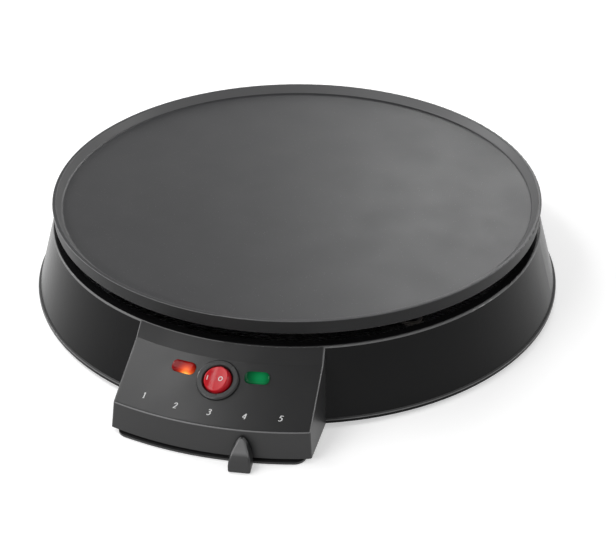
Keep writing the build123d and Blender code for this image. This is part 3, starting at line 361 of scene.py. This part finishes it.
def grey_panel():
    """Black-grey satin plastic with a fine spark-eroded grain and a painted highlight along its rounded edges."""
    # rounded edges of the panel and box get a painted highlight colour
    rounded_edge, painted_edge_highlight = (0.27, 0.60), (0.15, 0.15, 0.152, 1)
    made = Finish("grey_panel", Specular_IOR_Level=0.42)
    plain = made.mottled(30 * mm, 3, (0.017, 0.017, 0.0175, 1), (0.022, 0.022, 0.0225, 1))
    # painted highlight on the rounded edges
    made.set("Base Color", made.mix(made.tilted(*rounded_edge), plain, painted_edge_highlight))
    made.patchy_roughness(26 * mm, 4, 0.31, 0.38)
    made.bumps(0.35 * mm, 3, 0.006 * mm)
    return made.material


def black_trim():
    """Black satin plastic, with a painted highlight where it leans back."""
    # faces that lean back, such as the lever knob's upper part, get a painted highlight colour
    leaning, painted_highlight = (0.58, 0.93), (0.13, 0.13, 0.131, 1)
    made = Finish("black_trim")
    plain = made.mottled(mottle_size, 3, (0.015, 0.015, 0.0155, 1), (0.019, 0.019, 0.0195, 1))
    # painted highlight where the surface leans back
    made.set("Base Color", made.mix(made.tilted(*leaning), plain, painted_highlight))
    made.patchy_roughness(smudge_size, 4, 0.37, 0.47)
    made.bumps(0.4 * mm, 3, 0.008 * mm)
    return made.material


def red_rocker():
    """Translucent red plastic, glossy."""
    made = Finish(
        "red_rocker", Specular_IOR_Level=0.2, Coat_Weight=0.06,
        Subsurface_Weight=0.35, Subsurface_Scale=2.0 * mm, Subsurface_Radius=(1.0, 0.12, 0.08),
    )
    made.set("Base Color", made.mottled(3 * mm, 2, (0.44, 0.008, 0.015, 1), (0.54, 0.012, 0.022, 1)))
    made.patchy_roughness(4 * mm, 3, 0.15, 0.21)
    made.bumps(2.5 * mm, 1, 0.01 * mm)
    return made.material


def red_lens():
    """Lens of the lit lamp, amber at its hot spot."""
    return lens(
        "red_lens", "lamp_lens_red",
        spot=Vector((2.4, -2.6, -1.3)) * mm, spot_size=7.5 * mm, strength=5.0,
        # edge is the colour of the painted shade at the lens's rim
        body=(0.36, 0.012, 0.004, 1), edge=(0.20, 0.005, 0.006, 1), glow=(1.0, 0.62, 0.10, 1),
    )


def green_lens():
    """Lens of the green lamp, a little brighter to the right."""
    return lens(
        "green_lens", "lamp_lens_green",
        spot=Vector((2.0, -0.6, 0.0)) * mm, spot_size=9.0 * mm, strength=0.6,
        # edge is the colour of the painted shade at the lens's rim
        body=(0.002, 0.14, 0.04, 1), edge=(0.001, 0.045, 0.016, 1), glow=(0.03, 0.5, 0.2, 1),
    )


def green_yellow_wire():
    """Earth lead: green and yellow in broad bands."""
    green, yellow, band_edge = (0.05, 0.28, 0.06, 1), (0.75, 0.62, 0.05, 1), (0.48, 0.52)
    made = Finish("green_yellow_wire", Roughness=0.45)
    band = made.span(made.noise(9 * mm, 0), *band_edge, 0.0, 1.0)
    made.set("Base Color", made.mix(band, green, yellow))
    made.bumps(1 * mm, 2, 0.02 * mm)
    return made.material


def pale_print():
    """Pale grey ink, a little uneven."""
    made = Finish("pale_print")
    made.set("Base Color", made.mottled(0.6 * mm, 2, (0.56, 0.56, 0.56, 1), (0.70, 0.70, 0.70, 1)))
    made.patchy_roughness(1.5 * mm, 2, 0.45, 0.6)
    made.bumps(0.25 * mm, 2, 0.004 * mm)
    return made.material


def make_finishes():
    """One finish for each material slot. A single finish's function has the name of its slot."""
    singles = (
        nonstick_aluminium, black_housing, grey_panel, black_trim, red_rocker, red_lens, green_lens,
        green_yellow_wire, pale_print,
    )
    made = {single.__name__: single() for single in singles}
    for slot, (colour, roughness, grain, depth, other) in moulded_finishes.items():
        made[slot] = moulded(slot, colour, roughness, grain, depth, **other)
    for slot, values in metal_finishes.items():
        made[slot] = metal(slot, *values)
    return made


def dress_nodes(finishes):
    """Gives each node of the model its slot's finish."""
    for row in frame["record"]["subparts"]:
        mesh = frame["nodes"][row["node"]].data
        mesh.materials.clear()
        mesh.materials.append(finishes[row["material_slot"]])


# ---------------------------------------------------------------- printed marks
def placed(name, data):
    """A new object in the scene."""
    made = bpy.data.objects.new(name, data)
    bpy.context.scene.collection.objects.link(made)
    return made


def turn(azimuth):
    return Matrix.Rotation(math.radians(azimuth), 4, "Z")


def panel_middle():
    """Frame on the panel, at the rocker's middle: X right, Y up the slope, Z out of it."""
    slope = Vector(hinge["axis"])
    right = Vector((1, 0, 0))
    out = right.cross(slope)
    place = Vector(hinge["pos_m"]) + out * hinge_depth
    axes = Matrix((right, slope, out)).transposed().to_4x4()
    return Matrix.Translation(place) @ axes


def on_panel(azimuth, radius):
    """The same frame at another azimuth and distance from the plate's axis, which is the panel's too."""
    middle = panel_middle()
    slope = middle.col[1]
    up_slope = (-middle.translation.y - radius) / slope.y
    return turn(azimuth) @ middle @ Matrix.Translation((0, up_slope, 0))


def smooth(points):
    """A smooth line through points."""
    ends = [2 * points[0] - points[1], *points, 2 * points[-1] - points[-2]]
    line = []
    for before, start, stop, after in zip(ends, ends[1:], ends[2:], ends[3:]):
        square = 2 * before - 5 * start + 4 * stop - after
        cube = 3 * start - before - 3 * stop + after
        for step in range(curve_steps):
            t = step / curve_steps
            bend = square * t ** 2 + cube * t ** 3
            line.append(start + ((stop - before) * t + bend) / 2)
    return line + [points[-1]]


def pen_stroke(points, lift):
    """Flat pen stroke along points: thick where it runs up or down, thin where it runs across."""
    rows = []
    for i, point in enumerate(points):
        along = (points[min(i + 1, len(points) - 1)] - points[max(i - 1, 0)]).normalized()
        half = stroke_thin + (stroke_thick - stroke_thin) * abs(along.y)
        side = Vector((-along.y, along.x)) * half
        rows.append((point + side, point - side))
    return [[(spot.x, spot.y, lift) for spot in row] for row in rows]


# strokes of each number, in heights of the number: straight through their points, or smooth
number_strokes = {
    1: [("straight", [(0.02, 0.0), (0.02, 1.0)]), ("straight", [(-0.17, 0.84), (0.02, 0.96)]),
        ("straight", [(-0.16, 0.02), (0.18, 0.02)])],
    2: [("smooth", [(-0.25, 0.76), (-0.12, 0.95), (0.1, 0.95), (0.22, 0.75), (0.12, 0.47), (-0.26, 0.04)]),
        ("straight", [(-0.26, 0.04), (0.27, 0.04)])],
    3: [("smooth", [(-0.22, 0.85), (-0.06, 0.98), (0.14, 0.94), (0.2, 0.78), (0.08, 0.6), (-0.08, 0.54)]),
        ("smooth", [(-0.08, 0.54), (0.13, 0.48), (0.23, 0.28), (0.12, 0.06), (-0.1, -0.02), (-0.27, 0.1)])],
    4: [("straight", [(0.12, 0.0), (0.12, 0.98)]), ("straight", [(0.1, 0.98), (-0.3, 0.3)]),
        ("straight", [(-0.3, 0.27), (0.3, 0.27)])],
    5: [("straight", [(-0.12, 0.95), (0.28, 0.95)]), ("straight", [(-0.12, 0.97), (-0.2, 0.56)]),
        ("smooth", [(-0.2, 0.56), (0.02, 0.6), (0.22, 0.45), (0.2, 0.18), (0.0, 0.0), (-0.26, 0.04)])],
}


def strokes_of(number):
    """Rows of a number's strokes, upright, centred on its middle."""
    rows = []
    for layer, (way, points) in enumerate(number_strokes[number]):
        line = [Vector(point) - Vector((0, 0.5)) for point in points]
        if way == "smooth":
            line = smooth(line)
        rows.append(pen_stroke(line, layer * stroke_step / mark_height))
    return rows


def mark(name, strips, place, body, finish):
    """Thin solid mark made of strips of two-point rows. place is the frame that they are drawn in."""
    corners, faces = [], []
    for strip in strips:
        start = len(corners)
        for row in strip:
            corners += row
        for i in range(start, len(corners) - 2, 2):
            faces.append((i, i + 1, i + 3, i + 2))
    mesh = bpy.data.meshes.new(name)
    mesh.from_pydata(corners, [], faces)
    mesh.transform(place)
    mesh.materials.append(finish)
    piece = placed(name, mesh)
    thick = piece.modifiers.new("thickness", "SOLIDIFY")
    thick.thickness = print_thickness
    thick.offset = 0
    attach(piece, body)


def print_scale(finish):
    """The numbers of the temperature scale, on an arc but parallel. The first sits higher."""
    lean = Matrix.Identity(4)
    lean[0][1] = mark_lean
    for i in range(mark_count):
        azimuth = (i - (mark_count - 1) / 2) * mark_step
        radius = mark_radius - (first_mark_lift if i == 0 else 0)
        place = on_panel(azimuth, radius) @ turn(-azimuth) @ Matrix.Scale(mark_height, 4) @ lean
        mark(f"scale_number_{i + 1}", strokes_of(i + 1), place, "base", finish)


def rocker_frame():
    """Frame at the rocker's pivot, tipped as at rest: X across it, Y along the pivot, Z out of it."""
    down = Matrix.Translation((0, 0, -hinge_depth))
    return panel_middle() @ down @ Matrix.Rotation(-rocker_tilt, 4, "Y")


def on_dish(x, y):
    """A point of the rocker's dished top."""
    return (x, y, dish_bottom + dish_radius - math.sqrt(dish_radius ** 2 - x ** 2))


def print_rocker(finish):
    """A bar for on and a ring for off."""
    half_width, half_height = on_mark_size[0] / 2, on_mark_size[1] / 2
    sides = (on_mark_x - half_width, on_mark_x + half_width)
    bar = [[on_dish(x, y) for x in sides] for y in (-half_height, half_height)]
    mark("rocker_on_mark", [bar], rocker_frame(), "rocker", finish)
    ring = []
    for i in range(ring_steps + 1):
        angle = 2 * math.pi * i / ring_steps
        across, up = math.cos(angle), math.sin(angle)
        ring.append([on_dish(off_mark_x + radius * across, radius * up) for radius in off_mark_radii])
    mark("rocker_off_mark", [ring], rocker_frame(), "rocker", finish)


# ---------------------------------------------------------------- studio
def build_world():
    """White to the camera, fading overhead in reflections and glass, and plain as light."""
    world = bpy.data.worlds.new("studio")
    world.use_nodes = True
    made = Nodes(world.node_tree)
    direction = made.node("ShaderNodeTexCoord").outputs["Generated"]
    height = made.node("ShaderNodeSeparateXYZ", Vector=direction).outputs["Z"]
    fade = made.span(height, ceiling_starts, ceiling_reached, world_horizon, world_ceiling)
    light = made.mix(made.rays(*seen_rays), world_light, fade, "Float")
    strength = made.mix(made.rays("Is Camera Ray"), light, world_horizon, "Float")
    background = made.tree.nodes["Background"]
    made.feed(white, background.inputs["Color"])
    made.feed(strength, background.inputs["Strength"])
    bpy.context.scene.world = world


def build_floor():
    """Pale floor that keeps the object's shadow and is lifted to white where it is seen."""
    made = Finish("floor", Roughness=floor_roughness, Specular_IOR_Level=floor_gloss)
    made.set("Base Color", floor_colour)
    made.set("Emission Color", white)
    made.set("Emission Strength", made.span(made.rays(*seen_rays), 0.0, 1.0, 0.0, floor_lift))
    half = floor_size / 2
    corners = [(-half, -half, 0), (half, -half, 0), (half, half, 0), (-half, half, 0)]
    mesh = bpy.data.meshes.new("floor")
    mesh.from_pydata(corners, [], [(0, 1, 2, 3)])
    mesh.materials.append(made.material)
    floor = placed("floor", mesh)


def softbox(name, direction, distance, size, power):
    """Rectangular lamp that faces the origin, at the plate's axis on the floor."""
    lamp = bpy.data.lights.new(name, "AREA")
    lamp.shape = "RECTANGLE"
    lamp.size, lamp.size_y = size
    lamp.energy = power
    piece = placed(name, lamp)
    piece.location = Vector(direction).normalized() * distance
    piece.rotation_euler = (-piece.location).to_track_quat("-Z", "Y").to_euler()


def build_camera():
    camera = bpy.data.cameras.new("camera")
    camera.lens = camera_lens
    camera.sensor_width = camera_sensor
    piece = placed("camera", camera)
    piece.location = camera_place
    piece.rotation_euler = (math.pi / 2 - camera_dip, 0, camera_turn)
    bpy.context.scene.camera = piece


# ---------------------------------------------------------------- putting it together
finishes = make_finishes()
dress_nodes(finishes)
print_scale(finishes["pale_print"])
print_rocker(finishes["pale_print"])
build_world()
build_floor()
for softbox_name, values in softboxes.items():
    softbox(softbox_name, *values)
build_camera()
bpy.context.scene.view_settings.view_transform = "Standard"
